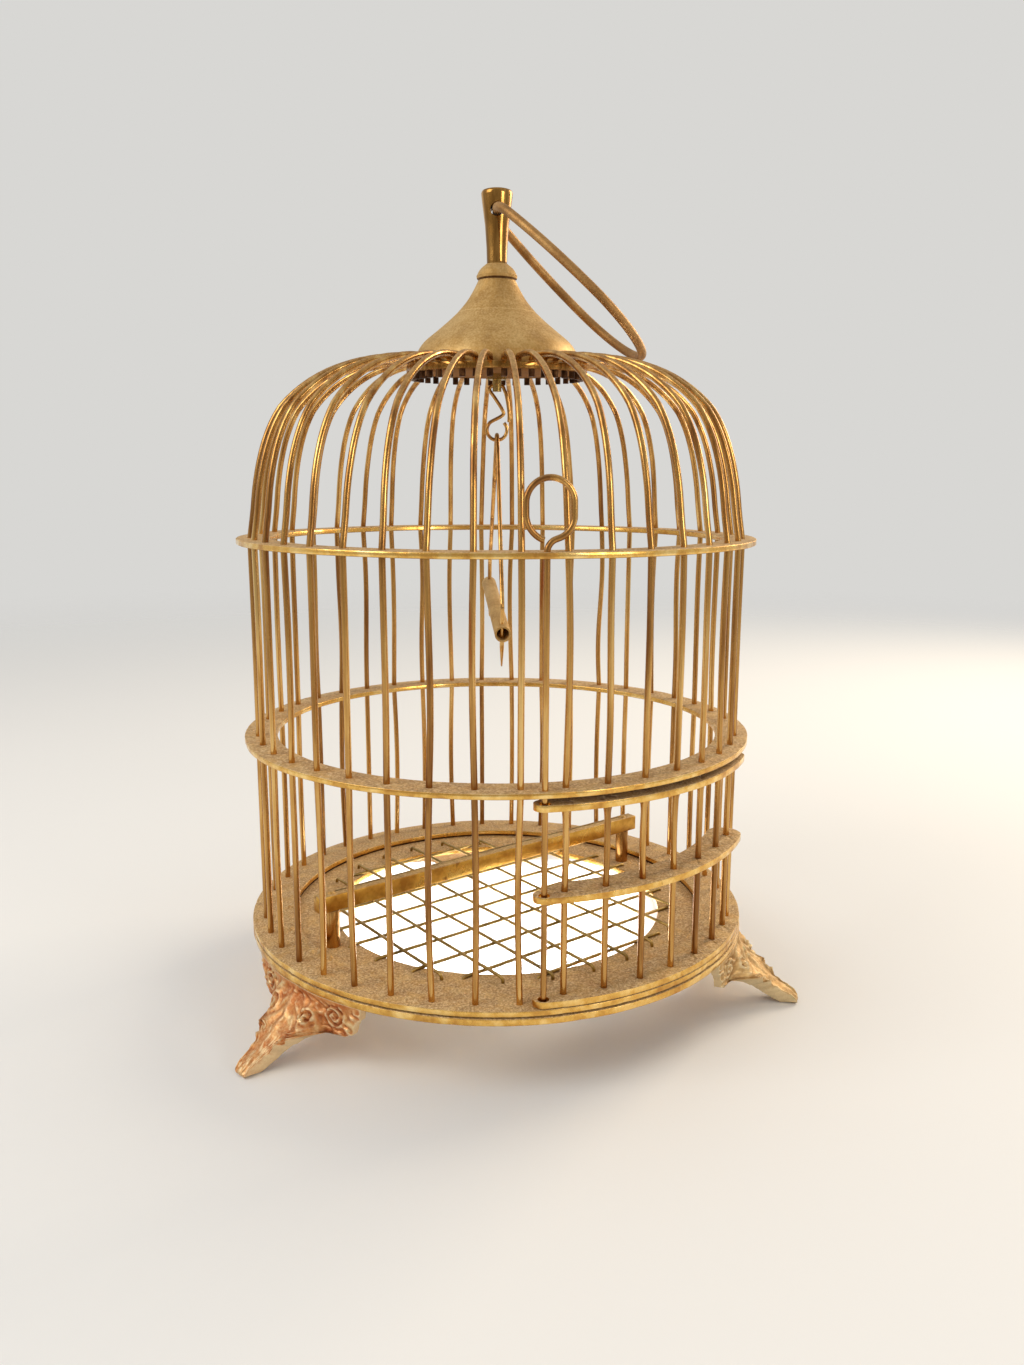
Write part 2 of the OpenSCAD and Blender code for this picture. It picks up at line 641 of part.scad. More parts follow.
// The hanger's wire: up from its free end, through the stud, and down to the eye
hanger_side = stud_d / 2 + hanger_d / 2 + 0.35;
function hanger_route() = let (top = hanger_hole_z, e = eye_z, s = hanger_side)
    concat([[4.1, e + 2.6], [4.1, e + 6], [3.3, e + 11], [s + 0.1, top - 1.4], [s - 0.6, top - 0.1],
            [0, top], [0.6 - s, top - 0.1], [-s, top - 1.4], [-0.6, e + 10.5], [1.9, e + 6.6], [1.9, e + 4.9]],
        [for (a = [125 : 35 : 405]) eye_r * [cos(a), sin(a)] + [0, e]]);

module swing_hanger() color(brass) swept_wire(smooth(hanger_route(), 3), hanger_d, sides = 8);

// Half of the swing's wire, in the XZ plane, from its apex to its point; the eye's lowest wire is the origin
function swing_half_path() = let (
    lean = swing_lean,
    leg_x = swing_half - knee_r * (1 - cos(lean)),
    leg = (leg_x - apex_r * cos(lean)) / sin(lean),
    knee_z = apex_r * sin(lean) - leg * cos(lean),
    low = -swing_drop - perch_d / 2 - 3)
    concat(arc([0, 0], apex_r, 90, lean, 5),
           arc([swing_half - knee_r, knee_z - knee_r * sin(lean)], knee_r, lean, 0, 4),
           [[swing_half, low], [swing_half, low + 3 - swing_point]]);

// Places the swing on the hanger's eye, at the lowest point of the eye's wire
module hung() translate([0, 0, eye_bottom_z]) rotate([swing_tilt, 0, swing_turn]) children();

module swing_wire() color(brass) hung() rotate([0, 0, 90]) {
    half = swing_half_path();
    n = len(half);
    swept_wire(concat([for (i = [n - 1 : -1 : 1]) [-half[i][0], half[i][1]]], half), swing_d, tips = 0.3);
}

module perch_tube() color(dusty_brass) hung() translate([0, 0, -swing_drop]) difference() {
    rotate([90, 0, 0]) cylinder(d = perch_d, h = perch_len, center = true);
    rotate([90, 0, 0]) cylinder(d = perch_d - 2 * perch_wall, h = perch_len + 2 * cut, center = true);
    for (side = [-1, 1])
        translate([0, side * swing_half, 0]) cylinder(r = swing_d / 2 + fit, h = 2 * perch_d, center = true);
}

base_plate();
solder_seam();
base_ring();
foot_front_left();
foot_right();
foot_back();
foot_rivets();
grid_rods_lower();
grid_rods_upper();
floor_perch_bar();
floor_perch_posts();
floor_perch_nails();
ribs_full();
ribs_over_door();
mid_ring();
top_ring();
crown_disc();
bell_cap();
collar();
finial();
crown_stud();
stud_nut();
bail_handle();
hinge_pin();
door_bottom_rail();
door_middle_rail();
door_top_rail();
door_bars();
swing_hanger();
swing_wire();
perch_tube();
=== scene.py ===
"""A brass wire bird cage on cast feet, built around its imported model."""

import math
import random

import bmesh
import bpy
from mathutils import Matrix, Vector, noise


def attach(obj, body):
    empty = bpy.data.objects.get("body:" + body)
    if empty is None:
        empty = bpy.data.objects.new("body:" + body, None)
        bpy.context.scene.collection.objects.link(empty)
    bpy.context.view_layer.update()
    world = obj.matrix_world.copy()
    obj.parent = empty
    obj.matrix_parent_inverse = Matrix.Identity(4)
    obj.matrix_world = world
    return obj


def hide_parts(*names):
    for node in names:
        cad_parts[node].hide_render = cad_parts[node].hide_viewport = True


bl_info = {
    "name": "Brass Bird Cage",
    "version": (1, 0, 0),
    "blender": (4, 5, 0),
    "location": "View3D > Sidebar > Cage",
    "description": "Builds a footed brass bird cage around its packed model",
    "category": "Object",
}

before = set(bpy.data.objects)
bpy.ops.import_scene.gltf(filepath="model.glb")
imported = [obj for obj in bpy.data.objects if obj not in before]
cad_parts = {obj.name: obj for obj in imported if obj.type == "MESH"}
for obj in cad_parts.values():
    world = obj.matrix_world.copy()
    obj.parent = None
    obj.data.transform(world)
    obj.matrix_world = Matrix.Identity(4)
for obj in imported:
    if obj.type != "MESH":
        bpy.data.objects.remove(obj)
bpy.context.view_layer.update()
MM = 0.001
SEED = 11

# ---- Places that the pieces share, in millimetres ----

RIM_R = 88.5
RIB_R = 83.8
RIB_COUNT = 40
RIB_STEP = 360 / RIB_COUNT
RIB_D = 2.0
PLATE_LOW, PLATE_TOP = 22.8, 25.0
BASE_LOW, BASE_TOP = 25.6, 27.4
MID_LOW, MID_TOP = 91.6, 93.4
TOP_LOW, TOP_TOP = 158.8, 160.6
HOOP_IN_R = 77.5
SPRING_Z, DOME_R = 173.0, 46.0
CROWN_LOW, CROWN_TOP = 215.0, 217.4
CROWN_R, CROWN_HOLE_R, RIB_BEND_R = 30.6, 28.6, 1.6
STUD_HOLE_R, BELL_R, SCRIBE_Z = 1.55, 27.4, 234.4
RIB_TOP_Z = 219.0
STUB_Z = 212.6
BELL_TOP, COLLAR_TOP = 245.0, 250.2
PIN_AZ, PIN_R, PIN_D = 9.0, 86.205, 1.85
DOOR_FIRST, DOOR_BARS = 13.5, 7
RAIL_Z = {"bottom": 27.7, "middle": 60.0, "top": 87.6}
RAIL_T = 2.0
GRID_D, GRID_PITCH, GRID_ANGLE = 1.1, 14.0, 37.0
GRID_REACH = {"lower": 63.6, "upper": 65.5}
GRID_SHIFT = {"lower": 1.5, "upper": -4.0}
GRID_Z = {"lower": 25.55, "upper": 26.65}
PLATE_HOLE_R = 59.5
PIVOT_Z = 266.6
BAIL_REST = 43.0
HANGER_Z, EYE_Z = 211.0, 196.4
SWING_Z, SWING_TILT, SWING_TURN = 193.0, 8.0, 4.0
CROWN_LEAN = 0.034
FEET = {"foot_front_left": -46, "foot_right": 74, "foot_back": 194}


def linear(hex_colour):
    """An sRGB hex colour as linear RGBA."""
    out = []
    for i in (1, 3, 5):
        c = int(hex_colour[i : i + 2], 16) / 255
        out.append(c / 12.92 if c <= 0.04045 else ((c + 0.055) / 1.055) ** 2.4)
    return (*out, 1.0)


def around(r, azimuth, z):
    """A point at a radius and azimuth, counted from the front towards the right."""
    a = math.radians(azimuth)
    return Vector((r * math.sin(a), -r * math.cos(a), z))


# ---- Materials ----


def add(tree, kind, settings=None, stops=(), **links):
    """Adds a node, sets its properties, inputs and colour stops, and links outputs to its other inputs."""
    node = tree.nodes.new(kind)
    for key, value in (settings or {}).items():
        if isinstance(key, str) and hasattr(node, key):
            setattr(node, key, value)
        else:
            node.inputs[key].default_value = value
    for k, (place, colour) in enumerate(stops):
        ramp = node.color_ramp.elements
        stop = ramp[k] if k < len(ramp) else ramp.new(place)
        stop.position, stop.color = place, linear(colour)
    for key, output in links.items():
        name = key.replace("_", " ")
        socket = node.inputs[int(key[1:])] if key[1:].isdigit() else node.inputs[name]
        tree.links.new(output, socket)
    return node


def brass(name, metal, dust=("#8C7148", "#B39A6E", "#D9C7A0"), dusty=(0.0, 0.3), rough=(0.25, 0.45),
          patch_mm=8, long=1.0, grit=0.3, spots=None, under_shade=None, bands=(), crease_shade_highlight=None):
    """Worn brass.

    metal: hex stops of the patina, from dark to bright, which changes over patch_mm (long times as far
    upwards). dust: hex of what settles. dusty: (amount everywhere, amount on faces that look up).
    rough: (polished, dulled). grit: depth of the 0.35 mm grains. spots: (hex, share) of stain.
    under: hex of the painted shade on faces that look down. bands: (height mm, half width mm, hex) of lines.
    crease: (hex of the painted shade in the hollows, hex of the painted highlight on the raised edges) of a
    casting.
    """
    mat = bpy.data.materials.new(name)
    mat.use_nodes = True
    t = mat.node_tree
    shader = t.nodes["Principled BSDF"]
    smooth = {"interpolation_type": "SMOOTHSTEP"}
    place = add(t, "ShaderNodeTexCoord").outputs["Object"]
    drawn = add(t, "ShaderNodeVectorMath", {"operation": "MULTIPLY", 1: (1, 1, 1 / long)}, i0=place).outputs[0]
    patches = add(t, "ShaderNodeTexNoise", {"Scale": 1 / (patch_mm * MM), "Detail": 5.0, "Roughness": 0.62},
                  Vector=drawn).outputs["Fac"]
    grains = add(t, "ShaderNodeTexNoise", {"Scale": 1 / (0.7 * MM), "Detail": 3.0, "Roughness": 0.7},
                 Vector=place).outputs["Fac"]
    drifts = add(t, "ShaderNodeTexNoise", {"Scale": 1 / (5.5 * MM), "Detail": 4.0, "Roughness": 0.65},
                 Vector=place).outputs["Fac"]
    up = add(t, "ShaderNodeSeparateXYZ", Vector=add(t, "ShaderNodeNewGeometry").outputs["Normal"]).outputs["Z"]
    colour = add(t, "ShaderNodeValToRGB", Fac=patches,
                 stops=[(0.34 + 0.32 * i / (len(metal) - 1), c) for i, c in enumerate(metal)]).outputs["Color"]
    if spots:
        far = add(t, "ShaderNodeVectorMath", {1: (0.03, 0.07, 0.02)}, i0=drawn).outputs[0]
        stain = add(t, "ShaderNodeTexNoise", {"Scale": 1 / (4.5 * MM), "Detail": 4.0},
                    Vector=far).outputs["Fac"]
        edge = 0.72 - 0.25 * spots[1]
        mark = add(t, "ShaderNodeMapRange", smooth | {1: edge, 2: edge + 0.07, 4: 0.85}, Value=stain).outputs[0]
        colour = add(t, "ShaderNodeMix", {"data_type": "RGBA", 7: linear(spots[0])},
                     i0=mark, i6=colour).outputs[2]
    down = None
    # faces that look down are painted darker: painted shade on the undersides
    if under_shade:
        down = add(t, "ShaderNodeMapRange", smooth | {1: -0.25, 2: -0.8, 4: 0.9}, Value=up).outputs[0]
        colour = add(t, "ShaderNodeMix", {"data_type": "RGBA", 7: linear(under_shade)}, i0=down, i6=colour).outputs[2]
    # the hollows are painted darker and the raised edges paler, by pointiness: painted shade and painted
    # highlights
    if crease_shade_highlight:
        relief = add(t, "ShaderNodeNewGeometry").outputs["Pointiness"]
        for full, tint in ((0.44, crease_shade_highlight[0]), (0.56, crease_shade_highlight[1])):
            part = add(t, "ShaderNodeMapRange", smooth | {1: 0.5, 2: full, 4: 0.85}, Value=relief).outputs[0]
            colour = add(t, "ShaderNodeMix", {"data_type": "RGBA", 7: linear(tint)},
                         i0=part, i6=colour).outputs[2]
    for z, half, line in bands:
        height = add(t, "ShaderNodeSeparateXYZ", Vector=place).outputs["Z"]
        near = add(t, "ShaderNodeMath", {"operation": "COMPARE", 1: z * MM, 2: half * MM}, i0=height).outputs[0]
        colour = add(t, "ShaderNodeMix", {"data_type": "RGBA", 7: linear(line)}, i0=near, i6=colour).outputs[2]
    settled = add(t, "ShaderNodeMapRange", smooth | {1: 0.25, 2: 0.95, 3: dusty[0], 4: dusty[1]},
                  Value=up).outputs[0]
    thin = add(t, "ShaderNodeMapRange", smooth | {1: 0.34, 2: 0.6, 3: 0.72, 4: 1.0}, Value=drifts).outputs[0]
    mask = add(t, "ShaderNodeMath", {"operation": "MULTIPLY"}, i0=settled, i1=thin).outputs[0]
    powder = add(t, "ShaderNodeValToRGB", Fac=grains,
                 stops=[(0.36, dust[0]), (0.5, dust[1]), (0.66, dust[2])]).outputs["Color"]
    colour = add(t, "ShaderNodeMix", {"data_type": "RGBA"}, i0=mask, i6=colour, i7=powder).outputs[2]
    t.links.new(colour, shader.inputs["Base Color"])
    bare = add(t, "ShaderNodeMapRange", smooth | {3: 1.0, 4: 0.1}, Value=mask).outputs[0]
    if down:
        dull = add(t, "ShaderNodeMath", {"operation": "SUBTRACT", 0: 1.0}, i1=down).outputs[0]
        bare = add(t, "ShaderNodeMath", {"operation": "MULTIPLY"}, i0=bare, i1=dull).outputs[0]
    t.links.new(bare, shader.inputs["Metallic"])
    worn = add(t, "ShaderNodeMapRange", smooth | {1: 0.36, 2: 0.62, 3: rough[1], 4: rough[0]},
               Value=patches).outputs[0]
    rougher = add(t, "ShaderNodeMix", {3: 0.9}, i0=mask, i2=worn).outputs[0]
    if down:
        # the undersides are matt, and give back hardly any of the room at a flat angle; their darker colour is
        # painted shade
        rougher = add(t, "ShaderNodeMix", {3: 0.95}, i0=down, i2=rougher).outputs[0]
        matt = add(t, "ShaderNodeMapRange", {3: 0.5, 4: 0.05}, Value=down).outputs[0]
        t.links.new(matt, shader.inputs["Specular IOR Level"])
    t.links.new(rougher, shader.inputs["Roughness"])
    bump = add(t, "ShaderNodeBump", {"Strength": 0.6 * grit, "Distance": 0.1 * MM}, Height=grains)
    t.links.new(bump.outputs["Normal"], shader.inputs["Normal"])
    return mat


MATERIALS = {
    # cast brass, tarnished to tan and terracotta, with verdigris in places, painted shade in its hollows and on
    # its undersides, and painted highlights on its raised edges
    "cast": lambda: brass(
        "Cast_brass_tarnished", ["#B0602E", "#C87C44", "#D89C60", "#E8CC98"], ("#A8754A", "#CDA474", "#E8D2A8"),
        (0.15, 0.45), (0.34, 0.58), 6, grit=0.5, spots=("#9A9C6A", 0.06), under_shade="#7A4628",
        crease_shade_highlight=("#94481F", "#F2DDB2"),
    ),
    # the same casting, paler: pale tan, a little verdigris, with the same painted shade and painted highlights
    "pale": lambda: brass(
        "Cast_brass_pale", ["#A07844", "#C29A62", "#D8B880"], ("#A8865A", "#CCAE80", "#E8D4AC"),
        (0.2, 0.5), (0.34, 0.55), 6, grit=0.5, spots=("#8E9A6C", 0.2), under_shade="#7E5A34",
        crease_shade_highlight=("#9A6A3A", "#F0DEB6"),
    ),
    # sheet brass: a dusty, gritty top, a worn golden edge, and a brown underside that is painted shade
    "sheet": lambda: brass(
        "Sheet_brass_dusty", ["#C48E46", "#E8B860", "#FFDC92"], ("#90704A", "#B89668", "#E0C8A0"),
        (0.0, 0.97), (0.18, 0.32), patch_mm=7, grit=0.4, spots=("#8A5A30", 0.06), under_shade="#8A6438",
    ),
    # spun brass, dulled by dust all over, with a scribed line and a dark painted shadow line under the collar
    "spun": lambda: brass(
        "Spun_brass_dull", ["#A47C40", "#C29A58", "#D6B273"], ("#A5824C", "#C2A068", "#DCC08C"), (0.4, 0.65),
        (0.34, 0.55), 9, grit=0.35, bands=((SCRIBE_Z, 0.12, "#E2C084"), (245.15, 0.35, "#5A2C1A")),
    ),
    # turned brass, which keeps more of its polish, with painted shade on its undersides
    "turned": lambda: brass(
        "Turned_brass_polished", ["#6E4C22", "#9A7038", "#D0A05A"], dusty=(0.0, 0.25), rough=(0.12, 0.3),
        patch_mm=4, long=9, grit=0.05, under_shade="#80562C", spots=("#5E3420", 0.12),
    ),
    # drawn wire, copper-brown with golden wear
    "wire": lambda: brass(
        "Drawn_brass_wire", ["#8C6036", "#B08248", "#CFA05C", "#E8C27E"],
        ("#7A5C38", "#9C7A4C", "#BC9C6C"), (0.0, 0.85), rough=(0.15, 0.3),
        patch_mm=5, long=14, grit=0.02, spots=("#A0562C", 0.14),
    ),
    # the bail's thicker wire, copper-brown with green specks
    "bail": lambda: brass(
        "Drawn_brass_bail", ["#8C663C", "#AA7E4C", "#C29860"], ("#8A683E", "#A8824E", "#C4A06C"),
        (0.3, 0.5), (0.34, 0.46), patch_mm=9, grit=0.03, spots=("#7A8250", 0.05),
    ),
    # thin floor rods with an old golden-olive patina
    "old": lambda: brass(
        "Drawn_brass_old_patina", ["#7A6434", "#A08446", "#C0A262"], dusty=(0.02, 0.3), rough=(0.26, 0.45),
        patch_mm=8, grit=0.2,
    ),
    # flat bar, the yellowest of the brasses, stained brown in patches
    "bar": lambda: brass(
        "Flat_bar_brass", ["#A8742E", "#D2A045", "#E6BC63"], dusty=(0.02, 0.7), rough=(0.24, 0.42),
        patch_mm=10, grit=0.3, spots=("#8B5A2B", 0.3),
    ),
    # soft solder, dark with flux and dirt
    "solder": lambda: brass(
        "Soft_solder_grimed", ["#2E1C12", "#4E3220", "#6E4E32"], dusty=(0.02, 0.2), rough=(0.45, 0.65),
        patch_mm=3, grit=0.8,
    ),
}
_made = {}


def material(key):
    """A finish from MATERIALS, made the first time it is asked for."""
    if key not in _made:
        _made[key] = MATERIALS[key]()
    return _made[key]


# ---- Mesh tools ----


def piece(name, verts, faces, body, finish, slot, *nodes, smooth=True):
    """Makes a mesh piece from points in millimetres, and gives it its body and material."""
    mesh = bpy.data.meshes.new(name)
    mesh.from_pydata([tuple(v * MM for v in p) for p in verts], [], faces)
    bm = bmesh.new()
    bm.from_mesh(mesh)
    bmesh.ops.recalc_face_normals(bm, faces=bm.faces)
    bm.to_mesh(mesh)
    bm.free()
    mesh.validate()
    if smooth:
        mesh.shade_smooth()
        mesh.set_sharp_from_angle(angle=math.radians(38))
    obj = bpy.data.objects.new(name, mesh)
    bpy.context.scene.collection.objects.link(obj)
    mesh.materials.append(material(finish))
    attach(obj, body)
    if nodes:
        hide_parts(*nodes)
    return obj


def sweep(path, radius, sides=12, closed=False):
    """Points and faces of a round wire along a path. radius is a number, or one number for each point."""
    n = len(path)
    path = [Vector(p) for p in path]
    radii = radius if isinstance(radius, list) else [radius] * n
    tangents = []
    for i in range(n):
        if closed:
            d = path[(i + 1) % n] - path[i - 1]
        else:
            d = path[min(i + 1, n - 1)] - path[max(i - 1, 0)]
        tangents.append(d.normalized())
    side = tangents[0].orthogonal().normalized()
    verts, faces = [], []
    for i in range(n):
        side = (side - tangents[i] * side.dot(tangents[i])).normalized()
        up = tangents[i].cross(side)
        for k in range(sides):
            a = 2 * math.pi * k / sides
            verts.append(path[i] + radii[i] * (math.cos(a) * side + math.sin(a) * up))
    for i in range(n if closed else n - 1):
        j = (i + 1) % n
        twist = 0
        if closed and j == 0:
            twist = min(
                range(sides),
                key=lambda s: (verts[(n - 1) * sides] - verts[s % sides]).length,
            )
        for k in range(sides):
            a, b = i * sides + k, i * sides + (k + 1) % sides
            c = j * sides + (k + 1 + twist) % sides
            d = j * sides + (k + twist) % sides
            faces.append((a, b, c, d))
    if not closed:
        faces.append(tuple(range(sides))[::-1])
        faces.append(tuple((n - 1) * sides + k for k in range(sides)))
    return verts, faces


def lathe(profile, steps=192, wobble=None):
    """Points and faces of a closed outline of (r, z) turned round the axis.

    wobble(angle, r, z) moves a point.
    """
    verts, faces = [], []
    n = len(profile)
    for i in range(steps):
        a = 2 * math.pi * i / steps
        for r, z in profile:
            dr, dz = wobble(a, r, z) if wobble else (0, 0)
            verts.append(((r + dr) * math.sin(a), -(r + dr) * math.cos(a), z + dz))
    for i in range(steps):
        j = (i + 1) % steps
        for k in range(n):
            m = (k + 1) % n
            faces.append((i * n + k, j * n + k, j * n + m, i * n + m))
    return verts, faces


def join(parts):
    """Several (points, faces) pairs as one."""
    verts, faces = [], []
    for v, f in parts:
        base = len(verts)
        verts += v
        faces += [tuple(base + i for i in face) for face in f]
    return verts, faces


def arc(cx, cy, r, a0, a1, n):
    """Points along an arc round a centre, from one angle in degrees to another."""
    angles = [math.radians(a0 + (a1 - a0) * i / n) for i in range(n + 1)]
    return [(cx + r * math.cos(a), cy + r * math.sin(a)) for a in angles]


def curve(points, steps=8):
    """A smooth line through points."""
    pts = [Vector(p) for p in points]
    out = []
    for i in range(len(pts) - 1):
        a, b = pts[max(i - 1, 0)], pts[i]
        c, d = pts[i + 1], pts[min(i + 2, len(pts) - 1)]
        for s in range(steps):
            t = s / steps
            out.append(
                0.5
                * (
                    2 * b
                    + (c - a) * t
                    + (2 * a - 5 * b + 4 * c - d) * t**2
                    + (3 * b - a - 3 * c + d) * t**3
                )
            )
    return out + [pts[-1]]


def worn_copy(node, name, body, finish, edge_mm=0.15):
    """A copy of a CAD node with its sharp edges worn round."""
    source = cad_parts[node].data
    mesh = source.copy()
    mesh.name = name
    bm = bmesh.new()
    bm.from_mesh(mesh)
    bmesh.ops.remove_doubles(bm, verts=bm.verts, dist=0.001 * MM)
    bmesh.ops.dissolve_degenerate(bm, edges=bm.edges, dist=0.001 * MM)
    bm.to_mesh(mesh)
    bm.free()
    mesh.materials.clear()
    mesh.materials.append(material(finish))
    obj = bpy.data.objects.new(name, mesh)
    bpy.context.scene.collection.objects.link(obj)
    bevel = obj.modifiers.new("Worn edge", "BEVEL")
    bevel.width, bevel.segments = edge_mm * MM, 2
    bevel.limit_method, bevel.angle_limit = "ANGLE", math.radians(40)
    bevel.use_clamp_overlap = True
    bpy.context.view_layer.update()
    baked = bpy.data.meshes.new_from_object(
        obj.evaluated_get(bpy.context.evaluated_depsgraph_get())
    )
    obj.modifiers.clear()
    obj.data = baked
    baked.shade_smooth()
    baked.set_sharp_from_angle(angle=math.radians(38))
    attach(obj, body)
    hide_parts(node)
    return obj


# ---- Settings ----


class CageSettings(bpy.types.PropertyGroup):
    rib_waver: bpy.props.FloatProperty(
        name="Rib waver", description="How far hand-bent ribs stray from true",
        default=0.45 * MM, min=0, max=1.5 * MM, subtype="DISTANCE", unit="LENGTH",
    )
    edge_wear: bpy.props.FloatProperty(
        name="Edge wear", description="How far the sheet's edges are rounded",
        default=0.22 * MM, min=0, max=0.5 * MM, subtype="DISTANCE", unit="LENGTH",
    )
    relief: bpy.props.FloatProperty(
        name="Leaf relief", description="How deep the leaves on the feet are cast",
        default=1.15 * MM, min=0, max=2 * MM, subtype="DISTANCE", unit="LENGTH",
    )
    floor_colour: bpy.props.FloatVectorProperty(
        name="Floor", description="Colour of the floor that the cage stands on",
        default=linear("#E9EAEC")[:3], size=3, min=0, max=1, subtype="COLOR",
    )


# ---- Stage ----


class CAGE_OT_stage(bpy.types.Operator):
    """Makes the floor, the soft lights and the camera"""

    bl_idname = "cage.stage"
    bl_label = "Stage"

    def execute(self, context):
        scene = context.scene
        verts, faces = [], []
        size, cells = 3000, 24
        for j in range(cells + 1):
            for i in range(cells + 1):
                verts.append(
                    (-size + 2 * size * i / cells, -size + 2 * size * j / cells, -0.05)
                )
        for j in range(cells):
            for i in range(cells):
                a = j * (cells + 1) + i
                faces.append((a, a + 1, a + cells + 2, a + cells + 1))
        mesh = bpy.data.meshes.new("Floor")
        mesh.from_pydata([tuple(v * MM for v in p) for p in verts], [], faces)
        floor = bpy.data.objects.new("Floor", mesh)
        scene.collection.objects.link(floor)
        paint = bpy.data.materials.new("Matt_white_paint")
        paint.use_nodes = True
        shader = paint.node_tree.nodes["Principled BSDF"]
        shader.inputs["Base Color"].default_value = (*scene.cage.floor_colour, 1)
        shader.inputs["Roughness"].default_value = 0.75
        # the paint fades out with distance, so that the floor and the room have no line between them
        t = paint.node_tree
        spot = add(t, "ShaderNodeTexCoord").outputs["Object"]
        away = add(t, "ShaderNodeVectorMath", {"operation": "LENGTH"}, i0=spot).outputs["Value"]
        fade = add(t, "ShaderNodeMapRange", {1: 0.35, 2: 1.5, "interpolation_type": "SMOOTHSTEP"},
                   Value=away).outputs[0]
        clear = add(t, "ShaderNodeBsdfTransparent").outputs[0]
        both = add(t, "ShaderNodeMixShader", i0=fade, i1=shader.outputs[0], i2=clear).outputs[0]
        t.links.new(both, t.nodes["Material Output"].inputs["Surface"])
        mesh.materials.append(paint)

        world = bpy.data.worlds.new("Pale room")
        world.use_nodes = True
        room = world.node_tree
        # the room is pale behind the cage and dimmer in front, which models the round metal
        facing = add(room, "ShaderNodeSeparateXYZ", Vector=add(room, "ShaderNodeTexCoord").outputs["Generated"])
        half = add(room, "ShaderNodeMapRange", {1: -1.0, 2: 1.0}, Value=facing.outputs["Y"]).outputs[0]
        walls = add(room, "ShaderNodeValToRGB", Fac=half,
                    stops=[(0.1, "#ABA69E"), (0.55, "#D8D7D4")]).outputs["Color"]
        room.links.new(walls, room.nodes["Background"].inputs["Color"])
        scene.world = world
        scene.view_settings.view_transform = "Standard"
        for name, place, size, power, colour in (
            ("Window", (-0.8, -0.45, 0.75), 0.7, 5.5, "#FFFBF2"),
            ("Low sun", (0.8, 0.6, 0.6), 0.5, 7, "#FFE9C8"),
            ("Fill", (0.75, -0.75, 0.4), 0.35, 2.2, "#FFF6E6"),
            ("Floor glow", (0, 0.045, 0.019), 0.122, 0.17, "#FFFFFF"),
        ):
            data = bpy.data.lights.new(name, "AREA")
            data.size, data.energy, data.color = size, power, linear(colour)[:3]
            data.spread = math.radians(180 if place[2] > 0.1 else 70)
            light = bpy.data.objects.new(name, data)
            light.location = place
            # the glow lights the floor under the open plate; the others face the cage
            aim = Vector((0, 0, 0.12 if place[2] > 0.1 else -1)) - light.location
            light.rotation_euler = aim.to_track_quat("-Z", "Y").to_euler()
            scene.collection.objects.link(light)

        lens = bpy.data.cameras.new("Camera")
        lens.sensor_fit, lens.sensor_width, lens.lens = "HORIZONTAL", 36, 37.34
        camera = bpy.data.objects.new("Camera", lens)
        camera.location = (-0.000632, -0.374178, 0.180413)
        aim = Matrix.Rotation(math.radians(-0.922), 3, "Z") @ Matrix.Rotation(math.radians(79.077), 3, "X")
        camera.rotation_euler = (aim @ Matrix.Rotation(math.radians(0.152), 3, "Z")).to_euler()
        scene.collection.objects.link(camera)
        scene.camera = camera
        return {"FINISHED"}


# ---- Feet ----


def foot_width(z):
    """Half the width of a foot's leaf at a height, with its scalloped lobes."""
    stops = [(0, 1.8), (1.2, 3.0), (3.5, 3.4), (6, 4.2), (8.2, 5.6), (9.6, 7.8), (10.4, 8.6),
             (11.2, 14.0), (12.0, 21.2), (13.4, 24.0), (15.6, 24.6), (17.4, 25.4),
             (19.2, 27.0), (20.8, 27.2), (22.8, 27.6)]
    for (z0, w0), (z1, w1) in zip(stops, stops[1:]):
        if z <= z1:
            s = (z - z0) / (z1 - z0)
            return w0 + (w1 - w0) * s * s * (3 - 2 * s)
    return stops[-1][1]


def leaf_relief(t, z, half):
    """The height of the cast leaf at a place across (t) and up (z), from 0 to about 1."""
    w = t / max(half, 1)
    spine = math.exp(-((t / 1.3) ** 2)) * 0.7
    torn = noise.noise(Vector((t, z, 0)) / 3.1)
    fan = abs(t) * 0.7 + (z - 4) * 0.9 + 2.2 * torn
    veins = 0.26 * math.sin(fan * 1.9) * (1 - math.exp(-abs(t) / 2.0))
    veins += 0.34 * noise.ridged_multi_fractal(Vector((t, z * 1.2, 5)) / 4.2, 0.9, 2.1, 4, 1.0, 1.8) - 0.3
    scrolls = 0.0
    for cx, cz, r in ((17.5, 17.6, 4.6), (8.8, 15.6, 3.6), (6.0, 9.0, 2.6)):
        dx, dz = abs(t) - cx, z - cz
        rho = math.hypot(dx, dz)
        if rho < r:
            swirl = math.cos(2 * math.pi * rho / 2.0 - math.atan2(dz, dx))
            scrolls += (1 - (rho / r) ** 4) * (0.35 + 0.6 * swirl)
    rim = math.exp(-(((abs(w) - 0.93) / 0.06) ** 2)) * 0.55
    return spine + veins + scrolls + rim


